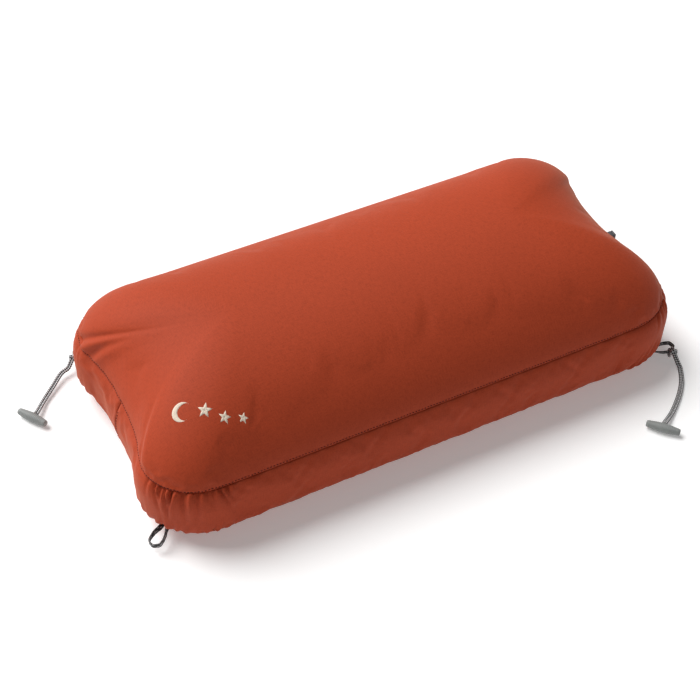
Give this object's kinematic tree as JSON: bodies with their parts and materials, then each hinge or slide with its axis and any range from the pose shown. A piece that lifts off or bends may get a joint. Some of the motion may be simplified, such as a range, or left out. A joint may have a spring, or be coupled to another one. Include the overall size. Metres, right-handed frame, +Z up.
{
  "type": "inflatable camp pillow",
  "caption": "Loaf-shaped inflatable camp pillow: padded fabric cover over an air bladder, with corner loops and elastic toggle cords.",
  "frame": {"origin": "middle of the base, on the surface that the pillow rests on", "axes": "+X along the pillow to the valve end, +Y across it to the zipped long side, +Z up through the padded crown"},
  "size_m": [0.4256, 0.2469, 0.0915],
  "materials": {
    "cover_fabric": "orange-rust plain-weave nylon with a soft satin sheen",
    "wadding": "white polyester wadding",
    "lining_fabric": "thin plain-weave lining",
    "bladder_film": "grey polyurethane-coated film",
    "valve_plastic": "dark moulded plastic",
    "valve_rubber": "soft grey silicone",
    "zip_tape": "woven zip tape dyed to match the cover",
    "zip_plastic": "coil zip teeth dyed to match",
    "zip_metal": "dark painted slider metal",
    "loop_tape": "black reflective-flecked narrow tape",
    "cord": "grey and white flecked elastic cord",
    "toggle_plastic": "grey moulded plastic, finely ribbed"
  },
  "bodies": {
    "pillow": {"cover_top_panel": "cover_fabric", "cover_bottom_panel": "cover_fabric", "side_band_front": "cover_fabric", "side_band_back": "cover_fabric", "wadding_sheet": "wadding", "wadding_lining": "lining_fabric", "bladder_top_sheet": "bladder_film", "bladder_side_wall": "bladder_film", "bladder_bottom_sheet": "bladder_film", "bladder_web_front": "bladder_film", "bladder_web_back": "bladder_film", "valve_base": "valve_plastic", "valve_seat": "valve_plastic", "valve_cap_strap": "valve_plastic", "zip_tape_upper": "zip_tape", "zip_tape_lower": "zip_tape", "zip_teeth_upper": "zip_plastic", "zip_teeth_lower": "zip_plastic", "zip_top_stop": "zip_metal", "zip_bottom_stop": "zip_metal", "loop_front_left": "loop_tape", "loop_front_right": "loop_tape", "loop_back_left": "loop_tape", "loop_back_right": "loop_tape"},
    "zip_slider": {"zip_slider": "zip_metal"},
    "zip_pull": {"zip_pull": "zip_metal"},
    "valve_cap": {"valve_cap": "valve_plastic"},
    "valve_flap": {"valve_flap": "valve_rubber"},
    "left_cord": {"cord_left": "cord"},
    "left_toggle": {"toggle_left": "toggle_plastic", "cord_knot_left": "cord"},
    "right_cord": {"cord_right": "cord"},
    "right_toggle": {"toggle_right": "toggle_plastic", "cord_knot_right": "cord"}
  },
  "joints": [
    {"name": "zip_slide", "type": "slide", "parent": "pillow", "child": "zip_slider", "axis": [1, 0, 0], "range_m": [-0.227, 0]},
    {"name": "zip_pull_hinge", "type": "hinge", "parent": "zip_slider", "child": "zip_pull", "pos_m": [0.1135, 0.0966, 0.028], "axis": [0, 0, -1], "range_deg": [0, 165]},
    {"name": "valve_cap_hinge", "type": "hinge", "parent": "pillow", "child": "valve_cap", "pos_m": [0.18815, 0, 0.0415], "axis": [0, -1, 0], "range_deg": [0, 150]},
    {"name": "valve_flap_slide", "type": "slide", "parent": "pillow", "child": "valve_flap", "axis": [-1, 0, 0], "range_m": [0, 0.0008], "stiffness_N_per_m": 20, "springref_m": -0.0005},
    {"name": "left_cord_swing", "type": "hinge", "parent": "pillow", "child": "left_cord", "pos_m": [-0.18283, 0.08658, 0.0065], "axis": [0, 0, 1], "range_deg": [-32, 18]},
    {"name": "left_toggle_turn", "type": "hinge", "parent": "left_cord", "child": "left_toggle", "pos_m": [-0.2214, 0.0538, 0.0032], "axis": [0, 0, 1], "range_deg": [-60, 75]},
    {"name": "right_cord_swing", "type": "hinge", "parent": "pillow", "child": "right_cord", "pos_m": [0.1829, -0.08849, 0.0065], "axis": [0, 0, 1], "range_deg": [-18, 50]},
    {"name": "right_toggle_turn", "type": "hinge", "parent": "right_cord", "child": "right_toggle", "pos_m": [0.14465, -0.13715, 0.0032], "axis": [0, 0, 1], "range_deg": [-70, 70]}
  ]
}
